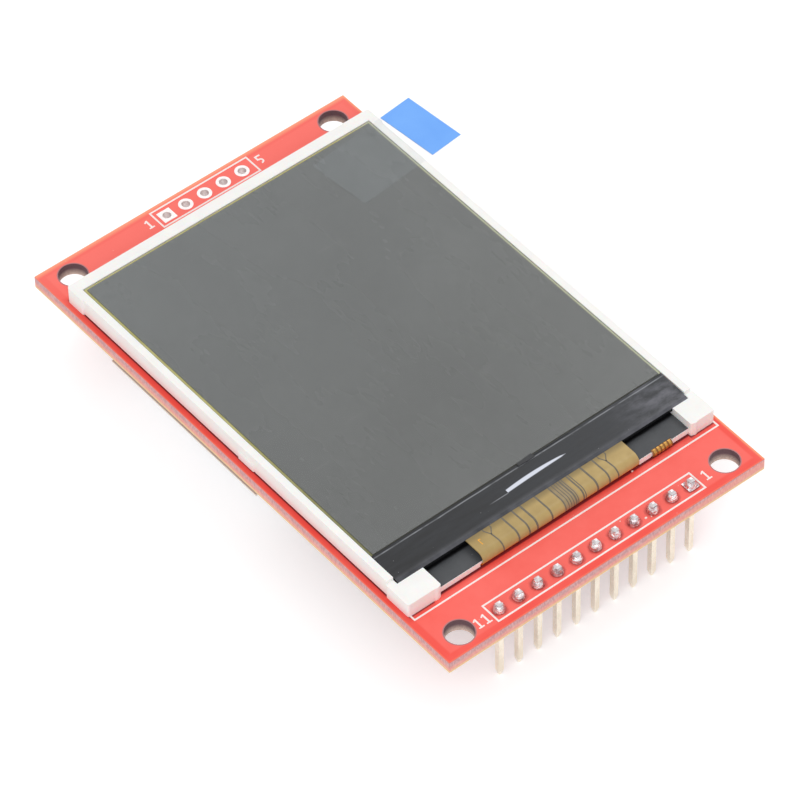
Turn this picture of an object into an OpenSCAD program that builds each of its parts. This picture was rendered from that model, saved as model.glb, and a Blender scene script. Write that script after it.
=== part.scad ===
// Small colour TFT display module on a red carrier board.
// Frame: X along the pin row, Y along the board away from the pin row, Z up out of the display face.
// Origin: middle of the four mounting holes, on the underside of the board.

/* [Carrier board] */
// Width of the board, across the pin row
board_w = 41.8; // [41.6:0.1:50]
// Length of the board
board_l = 68.6; // [68.2:0.1:80]
// Thickness of the board
board_t = 1.6; // [0.8:0.1:2.4]
// Diameter of the four mounting holes
hole_d = 3.2; // [2:0.1:3.4]
// Distance from a mounting hole's centre to the long edge
hole_inset_x = 3.3; // [2.2:0.1:3.6]
// Distance from a mounting hole's centre to the short edge
hole_inset_y = 2.4; // [2:0.1:2.6]

/* [Pin header] */
// Number of pins in the row
pin_count = 11; // [3:1:11]
// Spacing of the pins and of the card header's holes
pitch = 2.54; // [2.4:0.01:2.6]
// Distance from the pin row to the near short edge
header_inset = 2.1; // [1.7:0.1:3]
// Side of the square pins
pin_side = 0.64; // [0.5:0.01:0.66]
// Length of the pins below the plastic strip
pin_tail = 7.0; // [3:0.1:10]
// Length of the pins above the board
pin_above = 1.15; // [0.9:0.05:2]
// Height of the plastic strip
strip_h = 1.5; // [1.2:0.1:3]
// Width of the plastic strip
strip_w = 2.0; // [1.8:0.1:3]
// Diameter of the plated holes for the pins
pin_hole_d = 1.0; // [0.95:0.01:1.1]
// Diameter of a pin's pad
pin_pad_d = 1.4; // [1.35:0.05:1.9]
// Height of the solder round a pin
solder_h = 0.8; // [0.4:0.05:0.85]

/* [Card header holes] */
// Number of unfilled plated holes at the far edge
card_hole_count = 5; // [2:1:9]
// Distance from that row to the far short edge
card_row_inset = 1.95; // [1.3:0.05:2.3]
// Sideways shift of that row from the board's centre line
card_row_shift = 0.34; // [-1:0.02:1]
// Bore of the plated holes
card_hole_d = 0.95; // [0.8:0.01:1]
// Diameter of their pads
card_pad_d = 1.65; // [1.4:0.05:1.9]

/* [Backlight frame] */
// Width of the moulded frame over its side walls
lcd_w = 40.3; // [39.8:0.1:41.2]
// Length of the moulded frame
lcd_l = 56.4; // [54:0.1:56.8]
// Distance from the board's centre to the frame's centre, away from the pins
lcd_shift = 1.0; // [0:0.1:1.2]
// Thickness of the side walls
side_wall = 0.85; // [0.6:0.05:1.1]
// Thickness of the far wall
far_wall = 1.4; // [0.8:0.1:2]
// How far the corner blocks stand out past the side walls
block_out = 0.15; // [0.05:0.01:0.25]
// Width of the near left corner block
block_left = 4.3; // [3:0.1:5]
// Width of the near right corner block
block_right = 3.15; // [2.5:0.05:4]
// Length of the near corner blocks
block_l = 2.95; // [2:0.05:4]
// Length of the far corner blocks
far_block_l = 2.7; // [2:0.1:4]
// Step from the rim down to the top of the near corner blocks
block_drop = 0.4; // [0.1:0.05:0.6]
// Set-back of the near web behind the faces of the corner blocks
web_back = 0.38; // [0.2:0.02:0.6]
// Width of the ledge that carries the glass
ledge = 0.7; // [0.4:0.05:1]

/* [Glass and films] */
// Thickness of each glass plate
glass_t = 0.42; // [0.3:0.02:0.6]
// Clearance round the glass in its pocket
glass_gap = 0.1; // [0.05:0.01:0.2]
// Width of the driver ledge on the lower glass
driver_ledge = 3.8; // [3:0.1:5]
// Thickness of the polarizers
polarizer_t = 0.12; // [0.08:0.01:0.2]
// Set-back of the front polarizer from the glass edges
polarizer_back = 0.25; // [0.1:0.05:0.6]
// Thickness of the light guide
guide_t = 0.55; // [0.4:0.01:0.8]
// Thickness of each optical film
film_t = 0.1; // [0.06:0.01:0.15]
// Thickness of the black tape over the driver
tape_t = 0.08; // [0.05:0.01:0.1]
// Thickness of the clear protective film
cover_t = 0.04; // [0.03:0.01:0.1]
// Thickness of the dark film over the lamps
shade_t = 0.05; // [0.03:0.01:0.08]

/* [Flexes] */
// Width of the main flex
flex_w = 20.7; // [14:0.1:22]
// Sideways shift of the main flex
flex_shift = -0.1; // [-1:0.1:1]
// Thickness of the flexes
flex_t = 0.1; // [0.08:0.01:0.14]
// Length of the main flex under the frame
flex_under = 10.5; // [6:0.1:14]
// Width of the lamp flex's tail
tail_w = 2.6; // [2:0.1:3.6]
// Distance from the centre line to the middle of the tail
tail_x = 13.5; // [12.7:0.1:14]
// Number of lamps
lamp_count = 4; // [2:1:6]

/* [Pull tab] */
// Width of the pull tab
tab_w = 7.95; // [5:0.05:10]
// Length of its clear part
tab_clear_l = 10.1; // [9.6:0.1:14]
// Length of its blue end
tab_blue_l = 4.25; // [2:0.05:8]
// Angle at which the tab was laid on
tab_angle = 5.5; // [0:0.5:12]
// Thickness of the pull tab
tab_t = 0.07; // [0.04:0.01:0.12]

/* [Card socket] */
// Width of the socket across the card
socket_w = 26.4; // [25.8:0.1:28]
// Depth of the socket along the card
socket_d = 26.6; // [24:0.1:27.4]
// Height of the socket
socket_h = 2.85; // [2.7:0.05:3.4]
// Thickness of the shell's sheet
shell_t = 0.2; // [0.15:0.01:0.3]
// Distance from the centre of the board to the socket's centre, away from the pins
socket_y = 10.55; // [8:0.05:12]
// Set-back of the shell's mouth from the board's long edge
mouth_inset = 1.45; // [0.8:0.05:2]
// Width of the card's slot
slot_w = 24.4; // [24.2:0.1:25]
// Spacing of the contacts
contact_pitch = 2.5; // [2.3:0.05:2.6]
// Width of a contact
contact_w = 0.8; // [0.5:0.05:1.1]
// Length of a contact's arm ahead of the rear block
contact_arm = 7.6; // [6:0.1:8]
// How far a contact's arm bows down into the slot
contact_bow = 0.95; // [0.6:0.05:1.2]
// Length of a contact's tail behind the base
contact_tail = 1.2; // [0.6:0.1:1.6]

/* [Small parts under the board] */
// Length of the regulator's body
reg_l = 6.5; // [5.5:0.1:7.5]
// Width of the regulator's body
reg_w = 3.5; // [3:0.1:4.1]
// Height of the regulator's body
reg_h = 1.6; // [1.2:0.1:1.9]
// Spacing of the regulator's three leads
reg_pitch = 2.3; // [1.8:0.1:2.4]
// Width of each of the three leads
reg_lead = 0.7; // [0.5:0.05:0.9]
// Width of the regulator's tab
reg_tab = 3.0; // [2:0.1:3.6]
// Reach of the regulator's leads past its body
reg_reach = 1.7; // [1.2:0.1:2]
// Length of the transistor's body
tr_l = 2.9; // [2.6:0.1:3.4]
// Width of the transistor's body
tr_w = 1.3; // [1.1:0.05:1.6]
// Height of the transistor's body
tr_h = 1.0; // [0.8:0.05:1.2]
// Distance between the transistor's two side leads
tr_pitch = 1.9; // [1.5:0.05:2.2]
// Width of the transistor's leads
tr_lead = 0.4; // [0.3:0.05:0.5]
// Reach of the transistor's leads past its body
tr_reach = 0.95; // [0.85:0.05:1.2]
// Number of chip resistors
res_count = 6; // [1:1:8]
// Spacing of the chip resistors
res_pitch = 3.0; // [1.6:0.1:3.6]
// Length of a chip resistor
res_l = 1.6; // [1:0.05:2]
// Width of a chip resistor
res_w = 0.8; // [0.5:0.05:1.2]
// Height of a chip resistor
res_h = 0.42; // [0.3:0.02:0.6]
// Length of a chip capacitor
cap_l = 2.0; // [1.6:0.05:2.4]
// Width of a chip capacitor
cap_w = 1.25; // [0.8:0.05:1.6]
// Height of a chip capacitor
cap_h = 1.1; // [0.6:0.05:1.4]
// Length of the metal caps on the chip parts
end_cap = 0.3; // [0.15:0.01:0.4]

/* [Hidden] */
PINS = [for (i = [1:pin_count]) str("header_pin_", i)];
LCD = ["lcd_frame", "reflector_sheet", "light_guide", "diffuser_film", "prism_film_lower",
    "prism_film_upper", "lamp_flex", "lamps", "tail_traces", "lamp_shade_film", "rim_tape",
    "rear_polarizer", "array_glass", "filter_glass", "front_polarizer", "driver_chip",
    "driver_tape", "main_flex", "flex_pads", "protective_film", "pull_tab_clear", "pull_tab_blue",
    "foam_tape"];
BACK = ["socket_shell", "socket_base", "socket_contacts", "regulator_body", "regulator_leads",
    "transistor_body", "transistor_leads", "resistor_bodies", "resistor_caps", "capacitor_bodies",
    "capacitor_caps"];
$fn = 48;
e = 0.01; // overshoot of a cut

// Board and header levels
hole_x = board_w/2 - hole_inset_x;
hole_y = board_l/2 - hole_inset_y;
header_y = -board_l/2 + header_inset;
card_row_y = board_l/2 - card_row_inset;
pad_t = 0.04; // copper and tin of a pad
plating = 0.07;

// Display levels, counted up from the top of the board
z_pad = board_t + pad_t;
z_lcd = z_pad + flex_t + 0.01;
z_guide = z_lcd + film_t;
z_film = z_guide + guide_t;
z_ledge = z_film + 3*film_t;
rim_tape_t = 0.05;
z_array = z_ledge + rim_tape_t + polarizer_t;
z_filter = z_array + glass_t;
z_front = z_filter + glass_t;
z_rim = z_front + polarizer_t;
z_cover = z_rim + cover_t;
z_block = z_rim - block_drop;
z_web = z_lcd + 0.05;
z_shade = z_film + flex_t;

// Display outlines
y_near = lcd_shift - lcd_l/2;
y_far = lcd_shift + lcd_l/2;
y_web = y_near + web_back;
y_block = y_near + block_l;
pocket_x = lcd_w/2 - side_wall;
glass_x = pocket_x - glass_gap;
glass_y0 = y_block + glass_gap;
glass_y1 = y_far - far_wall - glass_gap;
filter_y0 = glass_y0 + driver_ledge;
stack_x = pocket_x - ledge;
stack_y1 = y_far - far_wall - ledge;
block_x0 = -lcd_w/2 - block_out + block_left;
block_x1 = lcd_w/2 + block_out - block_right;
guide_y0 = glass_y0 + 1.5;
lamp_y0 = guide_y0 - 0.8;
web_l = lamp_y0 - y_web - 0.05;
front_y0 = filter_y0 + 0.4;
front_y1 = glass_y1 - polarizer_back;
front_x = glass_x - polarizer_back;
flex_x0 = flex_shift - flex_w/2;
flex_x1 = flex_shift + flex_w/2;

// Bend of the main flex round the near web
bend_r = (z_filter + flex_t - z_pad)/2;
bend_z = z_pad + bend_r;
bend_y = y_web + bend_r - flex_t - 0.14;
// Bend of the lamp flex's tail
tail_r = (z_shade - z_pad)/2;
tail_z = z_pad + tail_r;
tail_y = y_web + 0.2;
trace_n = 5;

// Rectangular block between two corners
module slab(x0, x1, y0, y1, z0, z1)
    translate([x0, y0, z0]) cube([x1 - x0, y1 - y0, z1 - z0]);

// Outline with round corners, kept as true arcs
module round_rect(w, l, r) {
    square([w - 2*r, l], center = true);
    square([w, l - 2*r], center = true);
    for (sx = [-1, 1], sy = [-1, 1]) translate([sx*(w/2 - r), sy*(l/2 - r)]) circle(r = r);
}

// Profile drawn in Y and Z, drawn out along X
module along_x(x0, x1) translate([x0, 0, 0]) rotate([90, 0, 90]) linear_extrude(x1 - x0) children();

// Profile drawn in X and Z, drawn out along Y
module along_y(y0, y1) translate([0, y1, 0]) rotate([90, 0, 0]) linear_extrude(y1 - y0) children();

module at_pins() for (i = [0:pin_count - 1]) translate([pin_x(i), header_y, 0]) children();
function pin_x(i) = ((pin_count - 1)/2 - i)*pitch;
function card_x(i) = (i - (card_hole_count - 1)/2)*pitch + card_row_shift;

// ---- board and pin header ----

module board() color("#e0403c") difference() {
    slab(-board_w/2, board_w/2, -board_l/2, board_l/2, 0, board_t);
    for (sx = [-1, 1], sy = [-1, 1]) translate([sx*hole_x, sy*hole_y, -e])
        cylinder(d = hole_d, h = board_t + 2*e);
    at_pins() translate([0, 0, -e]) cylinder(d = pin_hole_d, h = board_t + 2*e);
    for (i = [0:card_hole_count - 1]) translate([card_x(i), card_row_y, -e])
        cylinder(d = card_hole_d + 2*plating, h = board_t + 2*e);
}

// Plated eyelets; the first has a square pad
module card_header_pads() color("#d8cfcf") for (i = [0:card_hole_count - 1])
    translate([card_x(i), card_row_y, 0]) difference() {
        union() {
            translate([0, 0, -pad_t]) cylinder(d = card_hole_d + 2*plating, h = board_t + 2*pad_t);
            for (z = [-pad_t, board_t]) translate([0, 0, z])
                if (i == 0) translate([-card_pad_d/2, -card_pad_d/2, 0])
                    cube([card_pad_d, card_pad_d, pad_t]);
                else cylinder(d = card_pad_d, h = pad_t);
        }
        translate([0, 0, -1]) cylinder(d = card_hole_d, h = board_t + 2);
    }

module strip_cell() {
    c = 0.45;
    a = pitch/2;
    b = strip_w/2;
    translate([0, 0, -strip_h]) linear_extrude(strip_h) polygon([[-a, -b + c], [-a + c, -b],
        [a - c, -b], [a, -b + c], [a, b - c], [a - c, b], [-a + c, b], [-a, b - c]]);
}

module header_strip() color("#1f1f21") difference() {
    at_pins() strip_cell();
    at_pins() translate([-pin_side/2, -pin_side/2, -strip_h - e])
        cube([pin_side, pin_side, strip_h + 2*e]);
}

// Outline of a square pin with its tapered ends, drawn in X and Z
module pin_outline() {
    h = pin_side/2;
    tip = h*0.45;
    z0 = -strip_h - pin_tail;
    z1 = board_t + pin_above;
    polygon([[-tip, z0], [tip, z0], [h, z0 + 0.7], [h, z1 - 0.25], [tip, z1], [-tip, z1],
        [-h, z1 - 0.25], [-h, z0 + 0.7]]);
}

module header_pin(i) color("#d9cdb0") translate([pin_x(i), header_y, 0]) intersection() {
    along_y(-pin_side/2, pin_side/2) pin_outline();
    along_x(-pin_side/2, pin_side/2) pin_outline();
}

// Full solder joint round each pin: a lump over the whole pad, and the filled hole below it;
// the first pad is square, and its lump has a square foot
module header_solder() color("#c9c9cf") for (i = [0:pin_count - 1])
    translate([pin_x(i), header_y, 0]) difference() {
        r0 = pin_pad_d/2;
        r1 = pin_side/2 + 0.08;
        union() {
            cylinder(d = pin_hole_d, h = board_t);
            if (i == 0) translate([-r0, -r0, board_t]) cube([2*r0, 2*r0, 0.14]);
            translate([0, 0, board_t]) rotate_extrude() polygon([[0, 0], [r0, 0], [r0, pad_t],
                [r0 - 0.03, solder_h*0.22], [r1 + (r0 - r1)*0.7, solder_h*0.5],
                [r1 + (r0 - r1)*0.34, solder_h*0.8], [r1, solder_h], [0, solder_h]]);
        }
        translate([-pin_side/2, -pin_side/2, -e])
            cube([pin_side, pin_side, board_t + pin_above + 1]);
    }

// ---- display unit ----

// Pocket that is open all the way down, for the lamps and the light guide
module stack_opening() {
    slab(-stack_x, stack_x, lamp_y0 - 0.05, stack_y1, z_lcd - 1, z_rim + 1);
}

module lcd_frame() color("#f4f3f0") difference() {
    union() {
        // side walls and far wall
        translate([0, (y_block + y_far)/2, z_lcd]) linear_extrude(z_rim - z_lcd)
            round_rect(lcd_w, y_far - y_block, 0.3);
        // near corner blocks, with a rounded foot at each inner corner
        translate([0, 0, board_t]) linear_extrude(z_block - board_t) {
            near_block(-lcd_w/2 - block_out, block_x0);
            near_block(block_x1, lcd_w/2 + block_out);
        }
        // far corner blocks
        for (s = [-1, 1]) translate([s*(lcd_w/2 + block_out - 1.9), y_far - far_block_l/2, board_t])
            linear_extrude(z_rim - board_t) round_rect(3.8, far_block_l, 0.3);
        // near web between the blocks, and the lip round its near edge
        slab(block_x0 - 1, block_x1 + 1, y_web, y_web + web_l, z_web, z_film);
        slab(block_x0 - 1, block_x1 + 1, y_web, y_web + 0.7, z_web, z_shade);
        // latch bosses at mid-length
        for (s = [-1, 1]) translate([s*lcd_w/2, lcd_shift - 1.9, z_lcd])
            linear_extrude(0.9) round_rect(0.24, 2.55, 0.1);
    }
    stack_opening();
    // glass pocket above the ledge
    slab(-pocket_x, pocket_x, y_block, y_far - far_wall, z_ledge, z_rim + 1);
    // seat of the lamp flex behind the web
    slab(block_x0, block_x1, y_web + 0.7, lamp_y0, z_film, z_rim + 1);
    // rim stops short of the near blocks
    slab(-lcd_w, lcd_w, y_block - 5, y_block + 0.65, z_block, z_rim + 1);
    // round nose under the bend of the main flex
    bend_clear(flex_x0 - 0.2, flex_x1 + 0.2, bend_y, bend_z, bend_r - flex_t - 0.06);
    // notch and nose for the tail of the lamp flex
    bend_clear(tail_x - tail_w/2 - 0.2, tail_x + tail_w/2 + 0.2, tail_y, tail_z,
        tail_r - flex_t - 0.05);
    slab(tail_x - tail_w/2 - 0.2, tail_x + tail_w/2 + 0.2, y_web - 1, y_web + 0.7 + e,
        z_film, z_shade + 1);
}

// Plan of a near corner block
module near_block(x0, x1) {
    l = block_l + 0.65;
    translate([(x0 + x1)/2, y_near + l/2]) round_rect(x1 - x0, l, 0.25);
    foot = x0 < 0 ? x1 - 0.55 : x0 + 0.55;
    translate([foot, y_near + 0.47]) circle(r = 0.55);
}

// What is cut away outside a nose of radius r round the bend's axis
module bend_clear(x0, x1, yc, zc, r) difference() {
    slab(x0, x1, yc - 3, yc, z_lcd - 1, z_block + 1);
    translate([x0 - 1, yc, zc]) rotate([0, 90, 0]) cylinder(r = r, h = x1 - x0 + 2);
}

module reflector_sheet() color("#f8f8fa")
    slab(-stack_x + 0.1, stack_x - 0.1, lamp_y0, stack_y1 - 0.1, z_lcd, z_guide);

module light_guide() color("#e8f0f2")
    slab(-stack_x + 0.1, stack_x - 0.1, guide_y0, stack_y1 - 0.1, z_guide, z_film);

module film(n) slab(-stack_x + 0.1, stack_x - 0.1, guide_y0 + 0.35, stack_y1 - 0.1,
    z_film + n*film_t, z_film + (n + 1)*film_t);
module diffuser_film() color("#fafafa") film(0);
module prism_film_lower() color("#eef0f4") film(1);
module prism_film_upper() color("#e6eaf0") film(2);

// Side-firing lamps under the lamp flex, against the guide's end
module lamps() color("#f2ecc8") for (i = [0:lamp_count - 1]) {
    span = block_x1 - block_x0 - 4;
    x = block_x0 + 2 + span*(i + 0.5)/lamp_count;
    slab(x - 1.5, x + 1.5, lamp_y0, guide_y0, z_film - 0.5, z_film);
}

// Strip that carries the lamps, with a tail that bends down to the board
module lamp_flex() color("#b8862e") {
    slab(block_x0 + 0.1, block_x1 - 0.1, y_web + 0.75, guide_y0 + 0.3, z_film, z_shade);
    folded_strip(tail_x - tail_w/2, tail_x + tail_w/2, tail_y, tail_z, tail_r, flex_t,
        y_web + 0.8, tail_y + 1.6);
}

// Strip folded round an axis along X, with an upper and a lower run
module folded_strip(x0, x1, yc, zc, r, t, y_up, y_low) {
    slab(x0, x1, yc, y_up, zc + r - t, zc + r);
    slab(x0, x1, yc, y_low, zc - r, zc - r + t);
    half_ring(x0, x1, yc, zc, r, t);
}

module half_ring(x0, x1, yc, zc, r, t) translate([x0, yc, zc]) rotate([90, 0, 90])
    linear_extrude(x1 - x0) difference() {
        circle(r = r, $fn = 64);
        circle(r = r - t, $fn = 64);
        translate([0, -2*r]) square([2*r, 4*r]);
    }

// Plated traces on the outside of the tail's bend
module tail_traces() color("#e0a848") for (i = [0:trace_n - 1]) {
    p = (tail_w - 0.1)/trace_n;
    x = tail_x + (i - (trace_n - 1)/2)*p;
    half_ring(x - p*0.3, x + p*0.3, tail_y, tail_z, tail_r + 0.04, 0.04);
}

// Dark film over the lamps, seen between the near corner blocks
module lamp_shade_film() color("#4c4e50") difference() {
    slab(block_x0 + 0.05, block_x1 - 0.05, y_web + 0.05, guide_y0 + 0.3, z_shade, z_shade + shade_t);
    slab(tail_x - tail_w/2 - 0.1, tail_x + tail_w/2 + 0.1, y_web - 1, tail_y + 0.05, z_film, z_rim);
}

// Black double-sided tape between the ledge and the glass
module rim_tape() color("#18181a") difference() {
    slab(-glass_x, glass_x, guide_y0 + 0.5, glass_y1, z_ledge, z_ledge + rim_tape_t);
    slab(-stack_x + 1.2, stack_x - 1.2, filter_y0, glass_y1 - 1.9, z_ledge - 1, z_array);
}

module rear_polarizer() color("#3a3c40")
    slab(-glass_x + 0.3, glass_x - 0.3, guide_y0 + 1.5, glass_y1 - 0.3, z_array - polarizer_t,
        z_array);

module array_glass() color("#7d8584")
    slab(-glass_x, glass_x, glass_y0, glass_y1, z_array, z_filter);

module filter_glass() color("#747a79")
    slab(-glass_x, glass_x, filter_y0, glass_y1, z_filter, z_front);

module front_polarizer() color("#6f7374")
    slab(-front_x, front_x, front_y0, front_y1, z_front, z_rim);

module driver_chip() color("#303236") {
    y = glass_y0 + driver_ledge*0.58;
    slab(-7.6, 7.6, y - 0.55, y + 0.55, z_filter, z_filter + 0.3);
}

// Black tape drawn over the driver: it starts on the upper glass and turns down at the near end
module driver_tape() color("#38393b") {
    y0 = y_block + 0.08;
    ys = filter_y0 + 0.33;
    up = [[ys, z_front], [filter_y0, z_front], [y0 + 0.65, z_filter + 0.26],
        [y0 + 0.3, z_filter + 0.2], [y0, z_filter + flex_t + 0.01]];
    along_x(-glass_x, glass_x) polygon(concat(up, [[y0 - 0.07, z_filter + flex_t + 0.02],
        [y0 + 0.24, z_filter + 0.2 + tape_t], [y0 + 0.62, z_filter + 0.26 + tape_t],
        [filter_y0 - 0.02, z_front + tape_t], [ys, z_front + tape_t]]));
}

module main_flex() color("#b39a5c") folded_strip(flex_x0, flex_x1, bend_y, bend_z, bend_r, flex_t,
    glass_y0 + 1.1, bend_y + flex_under);

// Tinned pads on the board that the flexes are soldered to
module flex_pads() color("#cfcfcf") {
    n = floor((flex_w - 1)/1.2);
    for (i = [0:n - 1]) translate([flex_shift + (i - (n - 1)/2)*1.2, bend_y + flex_under - 1.4,
        board_t]) translate([-0.3, -1, 0]) cube([0.6, 2, pad_t]);
    for (s = [-1, 1]) translate([tail_x + s*tail_w/4, tail_y + 0.9, board_t])
        translate([-0.35, -0.5, 0]) cube([0.7, 1, pad_t]);
}

module protective_film() color([0.8, 0.85, 0.86, 0.4])
    slab(-front_x + 0.05, front_x - 0.05, front_y0 + 0.05, front_y1 - 0.05, z_rim, z_cover);

// The tab's inner near corner lies on the film; its blue end reaches past the frame
tab_corner = [lcd_w/2 - 9.05, glass_y1 - 9.4];
module on_tab() translate([tab_corner[0], tab_corner[1], z_cover]) rotate([0, 0, tab_angle])
    children();
module pull_tab_clear() color([0.75, 0.82, 0.86, 0.4]) on_tab() cube([tab_clear_l, tab_w, tab_t]);
module pull_tab_blue() color("#5b9bf2") on_tab() translate([tab_clear_l, 0, 0])
    cube([tab_blue_l, tab_w, tab_t]);

// Foam tape that holds the unit down on the board
module foam_tape() color("#dcdcd8") for (s = [-1, 1]) {
    x = s*(stack_x - 4);
    slab(x - 3, x + 3, bend_y + flex_under + 1, stack_y1 - 2, board_t, z_lcd);
}

// ---- card socket under the board ----

socket_x0 = -board_w/2 + mouth_inset;
socket_x1 = socket_x0 + socket_d;
rail_y = slot_w/2;
inner_y = socket_w/2 - shell_t;
lid_z = -socket_h + shell_t;
rear_l = 4.2;
floor_t = 0.4;
contact_n = 9;
leaf_t = 0.15;

module in_socket() translate([0, socket_y, 0]) children();

// Folded sheet cover: lid, side walls, solder feet, mouth lip, windows and a card brake
module socket_shell() color("#c6c8cc") in_socket() {
    difference() {
        union() {
            translate([(socket_x0 + socket_x1)/2, 0, -socket_h]) linear_extrude(shell_t)
                round_rect(socket_d, socket_w, 0.3);
            slab(socket_x0 - 0.3, socket_x0 + 1, -rail_y, rail_y, -socket_h, lid_z);
            for (s = [-1, 1]) translate([(socket_x0 + socket_x1)/2, s*(inner_y + shell_t/2), -socket_h])
                linear_extrude(socket_h) square([socket_d - 1.2, shell_t], center = true);
        }
        // windows in the lid
        for (s = [-1, 1]) translate([socket_x0 + 14.5, s*7.2, -socket_h - 1])
            linear_extrude(3) round_rect(4.6, 3.4, 0.6);
        // U-shaped cut round the card brake
        translate([socket_x0 + 7, 0, -socket_h - 1]) linear_extrude(3) difference() {
            round_rect(6, 4.4, 0.4);
            translate([-0.7, 0]) square([6, 3.2], center = true);
        }
        // gaps in the side walls between the feet
        for (s = [-1, 1], x = [socket_x0 + 3, socket_x0 + 12])
            slab(x, x + 6, s*socket_w/2 - 1, s*socket_w/2 + 1, -0.8, 1);
    }
    // solder feet
    for (s = [-1, 1], x = [socket_x0 + 1, socket_x0 + 20])
        slab(x, x + 1.6, s > 0 ? inner_y : -inner_y - 1.1, s > 0 ? inner_y + 1.1 : -inner_y,
            -shell_t, 0);
}

module contact_y(i) translate([0, (i - (contact_n - 1)/2)*contact_pitch, 0]) children();

// Moulded base: rear block, side rails and a floor with a slot for each contact
module socket_base() color("#232326") in_socket() difference() {
    union() {
        slab(socket_x1 - rear_l, socket_x1, -inner_y, inner_y, lid_z, 0);
        for (s = [-1, 1]) slab(socket_x0 + 0.6, socket_x1 - rear_l + 1, s > 0 ? rail_y : -inner_y,
            s > 0 ? inner_y : -rail_y, lid_z, 0);
        slab(socket_x1 - rear_l - 9, socket_x1 - 1, -inner_y, inner_y, -floor_t, 0);
    }
    for (i = [0:contact_n - 1]) contact_y(i) {
        slab(socket_x1 - rear_l - contact_arm - 0.6, socket_x1 - rear_l + 0.6,
            -contact_w/2 - 0.12, contact_w/2 + 0.12, -1.6, 1);
        slab(socket_x1 - rear_l, socket_x1 + 1, -contact_w/2, contact_w/2, -leaf_t, 1);
    }
    // bevelled relief along the rear edge
    along_y(-socket_w, socket_w) polygon([[socket_x1 - 0.6, lid_z - 1], [socket_x1 - 0.6, lid_z],
        [socket_x1, lid_z + 0.6], [socket_x1 + 1, lid_z + 0.6], [socket_x1 + 1, lid_z - 1]]);
}

// Spring leaves: a tail on the board, a run under the rear block and a bowed arm in the slot
module socket_contacts() color("#d8b86a") in_socket() for (i = [0:contact_n - 1]) contact_y(i)
    along_y(-contact_w/2, contact_w/2) {
        xr = socket_x1 - rear_l;
        xe = socket_x1 + contact_tail;
        xb = xr - contact_arm + 2;
        xa = xr - contact_arm;
        zb = -contact_bow;
        za = -contact_bow*0.53;
        polygon([[xe, 0], [xr + 0.3, 0], [xb, zb], [xb - 1, zb], [xa, za], [xa, za - leaf_t],
            [xb - 1.05, zb - leaf_t], [xb + 0.05, zb - leaf_t], [xr + 0.3, -leaf_t],
            [xe, -leaf_t]]);
    }

// ---- small parts under the board ----

reg_at = [-board_w*0.3, header_y + 15.2];
tr_at = [board_w*0.26, header_y + 16.2];
res_at = [for (i = [0:res_count - 1]) [(i - (res_count - 1)/2)*res_pitch, header_y + 6.2]];
cap_at = [[reg_at[0], reg_at[1] + 7], [reg_at[0] - 5.5, reg_at[1]], [1, reg_at[1] + 3]];

module hang(p, a = 0) translate([p[0], p[1], 0]) rotate([0, 0, a]) children();

// Package body with drafted sides, standing clear of the board by gap
module package(w, l, h, gap) {
    intersection() {
        along_y(-l, l) polygon([[-w/2 + 0.12, -gap], [w/2 - 0.12, -gap], [w/2, -gap - h*0.45],
            [w/2 - 0.15, -gap - h], [-w/2 + 0.15, -gap - h], [-w/2, -gap - h*0.45]]);
        along_x(-w, w) polygon([[-l/2 + 0.12, -gap], [l/2 - 0.12, -gap], [l/2, -gap - h*0.45],
            [l/2 - 0.15, -gap - h], [-l/2 + 0.15, -gap - h], [-l/2, -gap - h*0.45]]);
    }
}

// Gull-wing lead that leaves the body at height z and lands on the board
module gull(w, y0, z, reach) along_x(-w/2, w/2) {
    t = 0.2;
    polygon([[y0, z], [y0 + 0.4, z], [y0 + 0.65, -t], [y0 + reach, -t], [y0 + reach, 0],
        [y0 + 0.5, 0], [y0 + 0.25, z + t], [y0, z + t]]);
}

body_gap = 0.05;
reg_z = -body_gap - reg_h*0.45 - 0.1;
module regulator_body() color("#202022") hang(reg_at) package(reg_l, reg_w, reg_h, body_gap);
module regulator_leads() color("#c8c8cc") hang(reg_at) {
    for (i = [-1:1]) translate([i*reg_pitch, 0, 0]) gull(reg_lead, reg_w/2, reg_z, reg_reach);
    rotate([0, 0, 180]) gull(reg_tab, reg_w/2, reg_z, reg_reach);
}

tr_z = -body_gap - tr_h*0.45 - 0.1;
module transistor_body() color("#202022") hang(tr_at) package(tr_l, tr_w, tr_h, body_gap);
module transistor_leads() color("#c8c8cc") hang(tr_at) {
    for (s = [-1, 1]) translate([s*tr_pitch/2, 0, 0]) gull(tr_lead, tr_w/2, tr_z, tr_reach);
    rotate([0, 0, 180]) gull(tr_lead, tr_w/2, tr_z, tr_reach);
}

// Chip component: ceramic middle and metal caps that wrap its ends
module chip_body(l, w, h) slab(-w/2, w/2, -l/2 + end_cap, l/2 - end_cap, -h - 0.03, -0.03);
module chip_caps(l, w, h) for (s = [-1, 1])
    slab(-w/2, w/2, s > 0 ? l/2 - end_cap : -l/2, s > 0 ? l/2 : -l/2 + end_cap, -h - 0.05, 0);

module resistor_bodies() color("#1c1c1e") for (p = res_at) hang(p) chip_body(res_l, res_w, res_h);
module resistor_caps() color("#c4c4c8") for (p = res_at) hang(p) chip_caps(res_l, res_w, res_h);
module capacitor_bodies() color("#b58f62") for (p = cap_at) hang(p, 90)
    chip_body(cap_l, cap_w, cap_h);
module capacitor_caps() color("#c4c4c8") for (p = cap_at) hang(p, 90)
    chip_caps(cap_l, cap_w, cap_h);

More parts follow.
